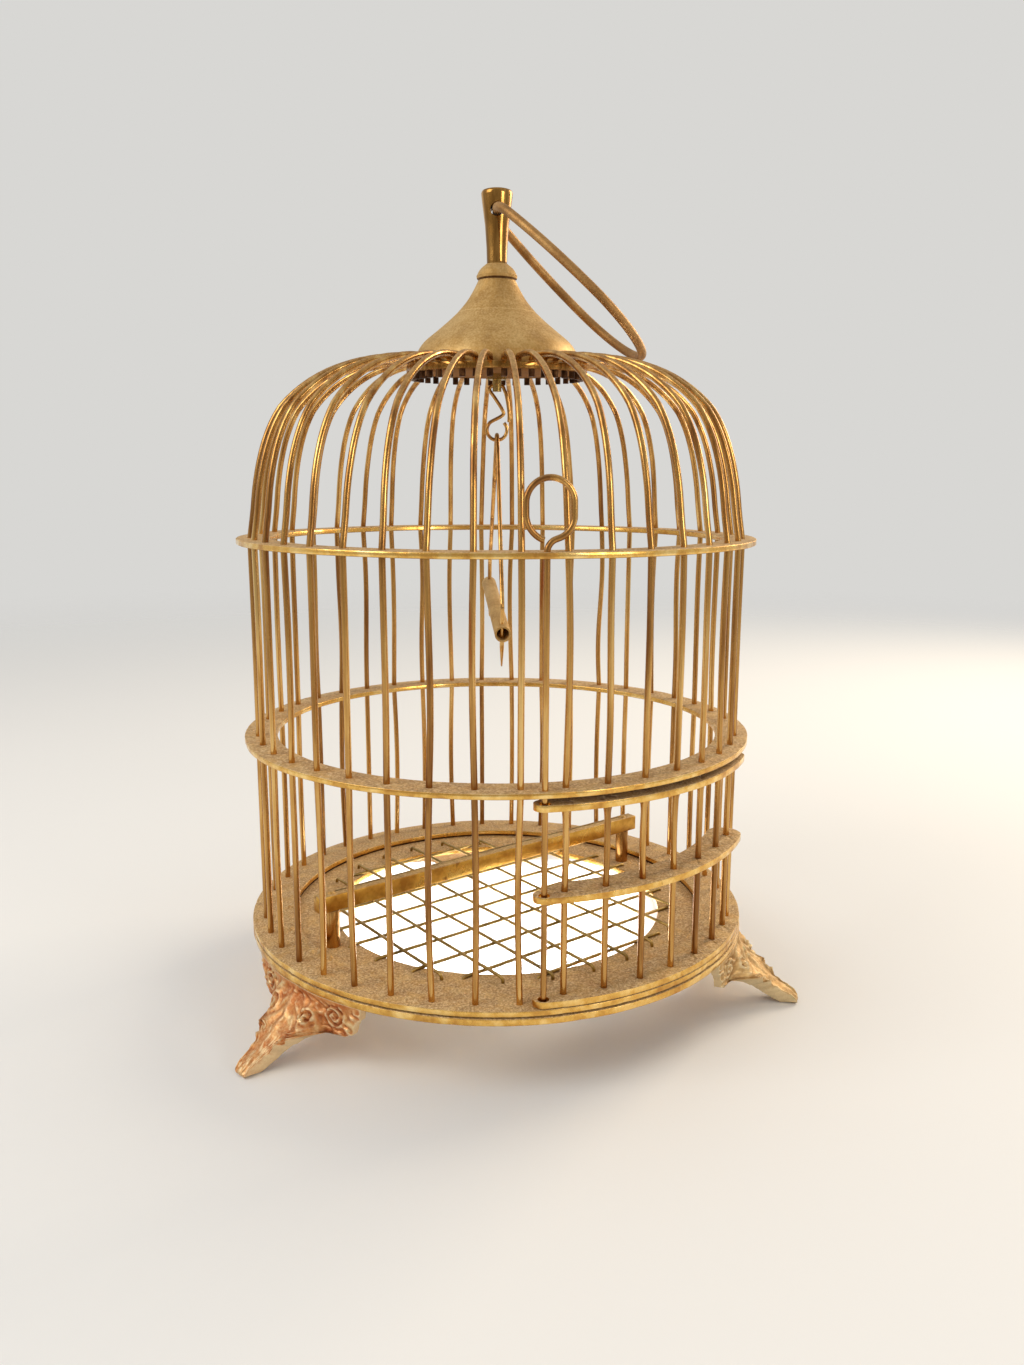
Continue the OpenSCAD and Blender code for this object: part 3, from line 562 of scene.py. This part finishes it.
def foot_mesh(azimuth, depth):
    """A cast foot: a leaf that follows the rim, then sweeps out to a toe."""
    front = curve([(RIM_R, PLATE_LOW), (88.6, 20.6), (90.4, 18.2), (93.0, 14.2), (96.4, 11.2),
                   (101.7, 6.6), (106.4, 3.9), (109.0, 2.0), (109.7, 0.9), (109.3, 0.0)], 9)
    back = curve([(85.6, PLATE_LOW), (85.5, 20.6), (85.8, 18.2), (88.0, 13.6), (91.2, 9.6),
                  (96.6, 4.6), (101.4, 1.7), (103.6, 0.6), (104.2, 0.3), (104.6, 0.0)], 9)
    across = 96
    verts, faces = [], []
    rows = len(front)
    for i in range(rows):
        fr, fz = front[i]
        br, bz = back[i]
        # the wings keep to the rim, and only the middle third leaves it
        half = foot_width(max(fz, 0))
        ends = front[min(i + 1, rows - 1)] - front[max(i - 1, 0)]
        nr, nz = -ends[1], ends[0]
        size = math.hypot(nr, nz) or 1
        nr, nz = (nr / size, nz / size) if nr > 0 else (-nr / size, -nz / size)
        for k in range(across + 1):
            t = half * (-1 + 2 * k / across)
            sag = RIM_R - math.sqrt(max(RIM_R**2 - t * t, 0))
            wing = min(max((abs(t) - 7.5) / 7, 0), 1)
            r = fr + (88.4 - fr) * wing * wing * (3 - 2 * wing)
            h = depth * leaf_relief(t, fz, half)
            fade = min(max((22.6 - fz) / 2.2, 0), 1) * min(max(fz / 2.0, 0), 1)
            verts.append((r - sag * (0.3 + 0.7 * wing) + nr * h * fade - 0.5 * fade,
                          t, fz + nz * h * fade * 0.8))
        for k in range(across + 1):
            t = half * (1 - 2 * k / across) * 0.985
            sag = RIM_R - math.sqrt(max(RIM_R**2 - t * t, 0))
            wing = min(max((abs(t) - 7.5) / 7, 0), 1)
            r = br + (85.5 - br) * wing
            verts.append((r - sag * (0.3 + 0.7 * wing), t, bz + (fz - bz) * wing))
    ring = 2 * (across + 1)
    for i in range(rows - 1):
        for k in range(ring):
            m = (k + 1) % ring
            faces.append((i * ring + k, i * ring + m, (i + 1) * ring + m, (i + 1) * ring + k))
    for row, order in ((0, 1), (rows - 1, -1)):
        for k in range(across):
            a, b = row * ring + k, row * ring + k + 1
            c, d = row * ring + ring - 2 - k, row * ring + ring - 1 - k
            faces.append((a, b, c, d)[::order])
    turn = Matrix.Rotation(math.radians(azimuth - 90), 3, "Z")
    verts = [turn @ Vector((x, y, min(max(z, 0.0), PLATE_LOW))) for x, y, z in verts]
    return verts, faces


class CAGE_OT_feet(bpy.types.Operator):
    """Makes the three cast leaf feet and dresses their rivets"""

    bl_idname = "cage.feet"
    bl_label = "Feet"

    def execute(self, context):
        depth = context.scene.cage.relief / MM
        for node, azimuth in FEET.items():
            verts, faces = foot_mesh(azimuth, depth)
            finish = "cast" if azimuth < 0 else "pale"
            piece("leaf_" + node, verts, faces, "cage", finish, "aged_brass", node)
        dress("foot_rivets", "bar")
        return {"FINISHED"}


def dress(node, finish):
    """Gives a CAD node that stays its material."""
    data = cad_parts[node].data
    data.materials.clear()
    data.materials.append(material(finish))


# ---- Rims ----


def rim_profile(r_in, r_out, low, top, edge, rows=3):
    """The outline of a flat ring with worn edges, with rows of faces across its top."""
    flat = [(r_in + edge + (r_out - r_in - 2 * edge) * i / rows, top) for i in range(rows + 1)]
    return [(r_in, low + edge), (r_in, top - edge), (r_in + edge * 0.4, top - edge * 0.3), *flat,
            (r_out - edge * 0.3, top - edge * 0.4), (r_out, top - edge), (r_out, low + edge),
            (r_out - edge * 0.3, low + edge * 0.4), (r_out - edge, low),
            (r_in + (r_out - r_in) * 0.5, low), (r_in + edge, low)]


def litter(a, r):
    """The height of the dirt caked on the base ring at a place: clumps along its inner edge, and one flake."""
    left = math.exp(-(((math.degrees(a) - 308) / 42) ** 2))
    x, y = r * math.sin(a), -r * math.cos(a)
    cake = max(noise.noise(Vector((x, y, 3)) / 1.9) - 0.12, 0) * math.exp(-(((r - 76.5) / 2.6) ** 2)) * left
    crumbs = max(noise.noise(Vector((x, y, 9)) / 1.3) - 0.42, 0) * (0.3 + left)
    dx, dy, turn = x + 24.9, y + 80.3, math.radians(17)
    along = dx * math.cos(turn) + dy * math.sin(turn)
    across = dy * math.cos(turn) - dx * math.sin(turn)
    flake = 0.5 if math.hypot(along / 3.1, across / 1.7) < 1 and across > -0.5 else 0
    door = 1 if 8 < math.degrees(a) < 82 else 0
    return 0 if door else 2.2 * cake + crumbs + flake * (1 + 0.25 * across)


class CAGE_OT_rims(bpy.types.Operator):
    """Makes the base plate, the base ring and the two hoops"""

    bl_idname = "cage.rims"
    bl_label = "Rims"

    def execute(self, context):
        edge = context.scene.cage.edge_wear / MM
        dice = random.Random(SEED)
        for node, r_in, low, top in (
            ("base_plate", PLATE_HOLE_R, PLATE_LOW, PLATE_TOP),
            ("base_ring", 74.0, BASE_LOW, BASE_TOP),
            ("mid_ring", HOOP_IN_R, MID_LOW, MID_TOP),
            ("top_ring", HOOP_IN_R, TOP_LOW, TOP_TOP),
        ):
            phase = [dice.uniform(0, 6.28) for _ in range(4)]

            def waver(a, r, z, p=phase, top=top, littered=node == "base_ring"):
                trim = 0.10 * math.sin(17 * a + p[0]) * math.sin(5 * a + p[1])
                nick = -0.16 * max(0, math.sin(29 * a + p[2])) ** 8
                outer = r > RIM_R - 1
                rise = litter(a, r) if littered and z == top and r < RIM_R - 1 else 0
                return (min(trim + nick, 0) if outer else 0.5 * trim, 0.03 * math.sin(9 * a + p[3]) + rise)

            rows, steps = (28, 960) if node == "base_ring" else (3, 480)
            verts, faces = lathe(rim_profile(r_in, RIM_R, low, top, edge, rows), steps, waver)
            piece("worn_" + node, verts, faces, "cage", "sheet", "dusty_brass", node)
        dress("solder_seam", "solder")
        return {"FINISHED"}


# ---- Ribs ----


def leaned(point):
    """Where a point of the dome or crown goes: the crown disc leans a little to the front."""
    x, y, z = point
    rise = min(max((z - TOP_TOP) / (CROWN_TOP - TOP_TOP), 0), 1)
    fall = min(max((BELL_TOP - z) / (BELL_TOP - CROWN_TOP), 0), 1)
    return Vector((x, y, z + CROWN_LEAN * y * rise * rise * (3 - 2 * rise) * fall))


def rib_path(azimuth, start, dice, waver):
    """A rib's centre line from its foot to its stub under the crown."""
    a = math.radians(azimuth)
    out = Vector((math.sin(a), -math.cos(a), 0))
    along = Vector((math.cos(a), math.sin(a), 0))
    line = []
    z = start
    while z < SPRING_Z - 0.5:
        line.append((RIB_R, z))
        z += 3.2
    line += [
        (RIB_R - DOME_R + DOME_R * math.cos(u), SPRING_Z + DOME_R * math.sin(u))
        for u in [math.radians(90 * i / 22) for i in range(23)]
    ]
    near = CROWN_HOLE_R + RIB_BEND_R
    line += [(36.0, RIB_TOP_Z), (33.2, RIB_TOP_Z), (near, RIB_TOP_Z)]
    line += [
        (near - RIB_BEND_R * math.sin(u), CROWN_TOP + RIB_BEND_R * math.cos(u))
        for u in [math.radians(90 * i / 6) for i in range(1, 7)]
    ]
    line += [(CROWN_HOLE_R, CROWN_LOW), (CROWN_HOLE_R, STUB_Z)]
    bow = [dice.gauss(0, 1) * waver for _ in range(5)]
    dome = dice.gauss(0, 1) * waver
    path = []
    for i, (r, z) in enumerate(line):
        side = 0.0
        depth = 0.0
        if z < MID_LOW:
            s = (z - BASE_TOP) / (MID_LOW - BASE_TOP)
            side = bow[0] * math.sin(math.pi * max(s, 0))
        elif z < TOP_LOW and r > 80:
            s = max((z - MID_TOP) / (TOP_LOW - MID_TOP), 0)
            side = bow[1] * math.sin(math.pi * s) + 0.4 * bow[2] * math.sin(2 * math.pi * s)
            depth = -0.4 * abs(bow[3]) * math.sin(math.pi * s)
        elif r > 31:
            # hand-bent shoulders start to lean in at once, then turn a little more sharply
            s = min(max((z - TOP_TOP) / 43, 0), 1)
            depth = -2.3 * math.sin(math.pi * s)
            s = min(max((RIB_R - r) / (RIB_R - 31), 0), 1)
            lift = min(max((z - TOP_TOP) / 25, 0), 1)
            side = 1.7 * dome * math.sin(math.pi * (0.15 + 0.85 * s)) * lift
        path.append(leaned(out * (r + depth) + along * side + Vector((0, 0, z))))
    return path


class CAGE_OT_ribs(bpy.types.Operator):
    """Bends the ribs, with the small wavers of hand work"""

    bl_idname = "cage.ribs"
    bl_label = "Ribs"

    def execute(self, context):
        waver = context.scene.cage.rib_waver / MM
        dice = random.Random(SEED + 1)
        full, short = [], []
        last = DOOR_FIRST + (DOOR_BARS - 1) * RIB_STEP
        for i in range(RIB_COUNT):
            azimuth = RIB_STEP * (i + 0.5)
            over = DOOR_FIRST - 1 < azimuth < last + 1
            start = 90.6 if over else PLATE_LOW
            path = rib_path(azimuth, start, dice, waver)
            (short if over else full).append(sweep(path, RIB_D / 2, 12))
        for name, wires in (("ribs_full", full), ("ribs_over_door", short)):
            ribs = piece("bent_" + name, *join(wires), "cage", "wire", "drawn_brass", name).data
            # the cut ends under the crown disc are black with flux
            ribs.materials.append(material("solder"))
            for face in ribs.polygons:
                x, y, z = face.center / MM
                if math.hypot(x, y) < 30 and z < leaned((x, y, CROWN_LOW))[2]:
                    face.material_index = 1
        return {"FINISHED"}


# ---- Floor ----


class CAGE_OT_floor(bpy.types.Operator):
    """Makes the two layers of floor rods and the floor perch"""

    bl_idname = "cage.floor"
    bl_label = "Floor"

    def execute(self, context):
        dice = random.Random(SEED + 2)
        bend = GRID_D / 2 + 0.7
        for layer, angle in (("lower", GRID_ANGLE), ("upper", GRID_ANGLE - 90)):
            turn = Matrix.Rotation(math.radians(angle), 3, "Z")
            reach, z = GRID_REACH[layer], GRID_Z[layer]
            rods = []
            for k in range(-4, 5):
                off = GRID_SHIFT[layer] + k * GRID_PITCH
                if abs(off) >= PLATE_HOLE_R + 0.5:
                    continue
                half = math.sqrt(reach**2 - off**2)
                run = half - bend
                amp, phase = dice.uniform(0.05, 0.22), dice.uniform(0, 6.28)
                line = [(-half, 0, PLATE_LOW + 0.05), (-half, 0, z - bend)]
                line += [(-run - bend * math.cos(u), 0, z - bend + bend * math.sin(u))
                         for u in [math.radians(90 * i / 5) for i in range(1, 5)]]
                for i in range(25):
                    x = -run + 2 * run * i / 24
                    line.append((x, amp * math.sin(x / 11 + phase) * math.sin(math.pi * i / 24), z))
                line += [(run + bend * math.sin(u), 0, z - bend + bend * math.cos(u))
                         for u in [math.radians(90 * i / 5) for i in range(1, 6)]]
                line.append((half, 0, PLATE_LOW + 0.05))
                rods.append(sweep([turn @ Vector((x, y - off, h)) for x, y, h in line], GRID_D / 2, 10))
            piece("bent_floor_rods_" + layer, *join(rods),
                  "cage", "old", "old_brass", "grid_rods_" + layer)
        worn_copy("floor_perch_bar", "worn_floor_perch_bar", "cage", "bar", 0.35)
        worn_copy("floor_perch_posts", "worn_floor_perch_posts", "cage", "wire", 0.2)
        dress("floor_perch_nails", "bar")
        return {"FINISHED"}


# ---- Crown ----


class CAGE_OT_crown(bpy.types.Operator):
    """Turns the disc, the bell and the collar, wears the finial's edges round, and dresses the stud"""

    bl_idname = "cage.crown"
    bl_label = "Crown"

    def execute(self, context):
        disc, faces = lathe(rim_profile(STUD_HOLE_R, CROWN_R, CROWN_LOW, CROWN_TOP, 0.3), 192)
        piece("turned_crown_disc", [leaned(v) for v in disc], faces,
              "cage", "turned", "turned_brass", "crown_disc")

        wall = 1.2
        outside = [(v[0], v[1]) for v in curve([(BELL_R, 219.6), (26.9, 221.6), (24.6, 224.9), (20.1, 228.6),
                                                (15.9, 232.1), (12.5, 235.4), (9.9, 238.5), (7.8, 241.9),
                                                (6.2, BELL_TOP)], 5)]
        # a fine line scribed while the bell turned
        scribed = [(r - 0.16 * math.exp(-(((z - SCRIBE_Z) / 0.35) ** 2)), z) for r, z in outside]
        profile = [(BELL_R - wall, CROWN_TOP), (27.15, CROWN_TOP), (BELL_R, CROWN_TOP + 0.3)] + scribed
        profile += [(STUD_HOLE_R, BELL_TOP), (STUD_HOLE_R, BELL_TOP - 2)]
        profile += [(r - wall, z - 0.5) for r, z in reversed(outside) if z < BELL_TOP - 2]
        bell, faces = lathe(profile, 192)
        piece("spun_bell_cap", [leaned(v) for v in bell], faces, "cage", "spun", "spun_brass", "bell_cap")
        collar = [(STUD_HOLE_R, BELL_TOP), (5.9, BELL_TOP), (6.7, BELL_TOP + 0.5), (6.85, BELL_TOP + 1.3)]
        collar += [(6.9 * math.cos(u), BELL_TOP + 5.9 * math.sin(u)) for u in
                   [math.radians(14 + 38 * i / 8) for i in range(1, 9)]]
        collar += [(3.7, COLLAR_TOP - 0.1), (STUD_HOLE_R, COLLAR_TOP - 0.1)]
        piece("turned_collar", *lathe(collar, 96), "cage", "spun", "spun_brass", "collar")
        worn_copy("finial", "worn_finial", "cage", "turned", 0.25)
        dress("crown_stud", "old")
        dress("stud_nut", "old")
        return {"FINISHED"}


# ---- Moving wires ----


class CAGE_OT_bail(bpy.types.Operator):
    """Smooths the bail's wire"""

    bl_idname = "cage.bail"
    bl_label = "Bail"

    def execute(self, context):
        neck, near_r, turn, wide = 5.0, 12.0, 60.0, 25.0
        near_x = near_r * (1 - math.cos(math.radians(turn)))
        near_y = neck + near_r * math.sin(math.radians(turn))
        side_turn = 90 - turn
        side_r = (wide - near_y) / (1 - math.cos(math.radians(side_turn)))
        side_x = near_x + side_r * math.sin(math.radians(side_turn))

        half = arc(near_r, neck, near_r, 180, 180 - turn, 12)
        half += arc(side_x, wide - side_r, side_r, 90 + side_turn * 0.92, 90, 12)
        half += arc(side_x, 0, wide, 86, 0, 30)
        loop = half + [(x, -y) for x, y in half[-2::-1]]
        rest = math.radians(BAIL_REST)
        path = [Vector((x * math.cos(rest), y, PIVOT_Z - x * math.sin(rest))) for x, y in loop]
        piece("bent_bail", *sweep(path, 1.5, 16, closed=True),
              "bail", "bail", "drawn_brass", "bail_handle")
        return {"FINISHED"}


class CAGE_OT_door(bpy.types.Operator):
    """Makes the door's rails and its soldered bars"""

    bl_idname = "cage.door"
    bl_label = "Door"

    def execute(self, context):
        for rail in RAIL_Z:
            node = f"door_{rail}_rail"
            worn_copy(node, "worn_" + node, "door", "sheet", 0.2)
        dice = random.Random(SEED + 3)
        bars = []
        low, top = RAIL_Z["bottom"], RAIL_Z["top"] + RAIL_T
        for i in range(DOOR_BARS):
            azimuth = DOOR_FIRST + i * RIB_STEP
            lean = dice.gauss(0, 0.22)
            path, radii = [], []
            for k in range(97):
                z = low + 0.05 + (top - low - 0.1) * k / 96
                bow = lean * math.sin(math.pi * min(max((z - 62) / 25.6, 0), 1))
                path.append(around(RIB_R, azimuth + math.degrees(bow / RIB_R), z))
                # solder that ran down the bar from under the top rail
                run = max(0, 1 - (RAIL_Z["top"] - z) / (4 + i % 3)) if z < RAIL_Z["top"] else 0
                radii.append(1.0 + (0.9 + 0.15 * (i % 4)) * run**3)
            bars.append(sweep(path, radii, 12))
        piece("soldered_door_bars", *join(bars), "door", "wire", "drawn_brass", "door_bars")
        return {"FINISHED"}


class CAGE_OT_hinge_pin(bpy.types.Operator):
    """Bends the door's hinge pin with its finger loop"""

    bl_idname = "cage.hinge_pin"
    bl_label = "Hinge pin"

    def execute(self, context):
        stem, side_x, top_c, low_c, low_r, turn = TOP_TOP, 0.8, 13.2, 9.8, 6.5, 75
        loop_r, left_r = 6.7, 7.5
        low_x = side_x + loop_r - low_r
        rad = math.radians
        join_r = (low_x + low_r * math.cos(rad(turn))) / (1 - math.sin(rad(90 - turn)))
        join_z = stem + low_c - low_r * math.sin(rad(turn)) - join_r * math.sin(rad(turn))

        route = [(0, z) for z in (22.85, 25, 40, 60, 92, 120, 150, 157, 159)]
        route += arc(join_r, join_z, join_r, 180, 180 - turn, 9)
        route += arc(low_x, stem + low_c, low_r, -turn + 12, 0, 9)
        route += arc(side_x, stem + top_c, loop_r, 6, 180, 26)
        route += arc(side_x - loop_r + left_r, stem + low_c + 0.5, left_r, 184, 250, 10)
        a = math.radians(PIN_AZ)
        along = Vector((math.cos(a), math.sin(a), 0))
        path = [around(PIN_R, PIN_AZ, 0) + along * x + Vector((0, 0, z)) for x, z in route]
        piece("bent_hinge_pin", *sweep(path, PIN_D / 2 - 0.01, 14),
              "hinge_pin", "wire", "drawn_brass", "hinge_pin")
        return {"FINISHED"}


class CAGE_OT_swing(bpy.types.Operator):
    """Bends the swing's wires and makes its hollow perch"""

    bl_idname = "cage.swing"
    bl_label = "Swing"

    def execute(self, context):
        top, e, s = HANGER_Z, EYE_Z, 2.45
        route = [(4.1, e + 2.6), (4.1, e + 6), (3.3, e + 11), (s + 0.1, top - 1.4), (s - 0.6, top - 0.1),
                 (0, top), (0.6 - s, top - 0.1), (-s, top - 1.4), (-0.6, e + 10.5),
                 (1.9, e + 6.6), (1.9, e + 4.9)]
        route += [(3.4 * math.cos(math.radians(a)), e + 3.4 * math.sin(math.radians(a)))
                  for a in range(125, 406, 20)]
        path = [Vector((p[0], 0, p[1])) for p in curve([(x, z) for x, z in route], 6)]
        piece("bent_swing_hanger", *sweep(path, 0.6, 12), "hanger", "wire", "swing_brass", "swing_hanger")

        drop, half, knee, apex = 59.0, 32.0, 4.0, 1.7
        lean = math.atan((half - apex) / (drop - 8))
        leg_x = half - knee * (1 - math.cos(lean))
        leg = (leg_x - apex * math.cos(lean)) / math.sin(lean)
        knee_z = apex * math.sin(lean) - leg * math.cos(lean)
        low = -drop - 2.7 - 3
        right = [(apex * math.cos(u), apex * math.sin(u)) for u in
                 [math.radians(90) + (lean - math.radians(90)) * i / 8 for i in range(9)]]
        elbow = [(half - knee + knee * math.cos(u), knee_z - knee * math.sin(lean) + knee * math.sin(u))
                 for u in [lean * (1 - i / 6) for i in range(7)]]
        start = Vector(right[-1])
        stop = Vector(elbow[0])
        right += [tuple(start.lerp(stop, i / 10)) for i in range(1, 10)]
        right += elbow + [(half, low + 1.5), (half, low), (half, low + 3 - 9.5)]
        line = [(-y, z) for y, z in right[:0:-1]] + right
        taper = [0.75] * len(line)
        taper[0] = taper[-1] = 0.24
        turn = Matrix.Rotation(math.radians(SWING_TURN), 3, "Z")
        hung = turn @ Matrix.Rotation(math.radians(SWING_TILT), 3, "X")
        path = [hung @ Vector((0, y, z)) + Vector((0, 0, SWING_Z)) for y, z in line]
        piece("bent_swing_wire", *sweep(path, taper, 12), "swing", "wire", "swing_brass", "swing_wire")
        worn_copy("perch_tube", "worn_perch_tube", "swing", "spun", 0.12)
        return {"FINISHED"}


# ---- Panel and registration ----


OPERATORS = (CAGE_OT_stage, CAGE_OT_feet, CAGE_OT_rims, CAGE_OT_ribs, CAGE_OT_floor,
             CAGE_OT_crown, CAGE_OT_bail, CAGE_OT_door, CAGE_OT_hinge_pin, CAGE_OT_swing)


class CAGE_PT_panel(bpy.types.Panel):
    """Lists the cage's settings and pieces"""

    bl_label = "Bird cage"
    bl_space_type = "VIEW_3D"
    bl_region_type = "UI"
    bl_category = "Cage"

    def draw(self, context):
        for name in ("rib_waver", "edge_wear", "relief", "floor_colour"):
            self.layout.prop(context.scene.cage, name)
        for operator in OPERATORS:
            self.layout.operator(operator.bl_idname)


CLASSES = (CageSettings, *OPERATORS, CAGE_PT_panel)


def register():
    for item in CLASSES:
        bpy.utils.register_class(item)
    bpy.types.Scene.cage = bpy.props.PointerProperty(type=CageSettings)


def unregister():
    del bpy.types.Scene.cage
    for item in reversed(CLASSES):
        bpy.utils.unregister_class(item)


def main():
    register()
    for operator in OPERATORS:
        group, name = operator.bl_idname.split(".")
        if getattr(getattr(bpy.ops, group), name)() != {"FINISHED"}:
            raise RuntimeError(f"{operator.bl_idname} didn't finish")


if __name__ == "__main__":
    main()
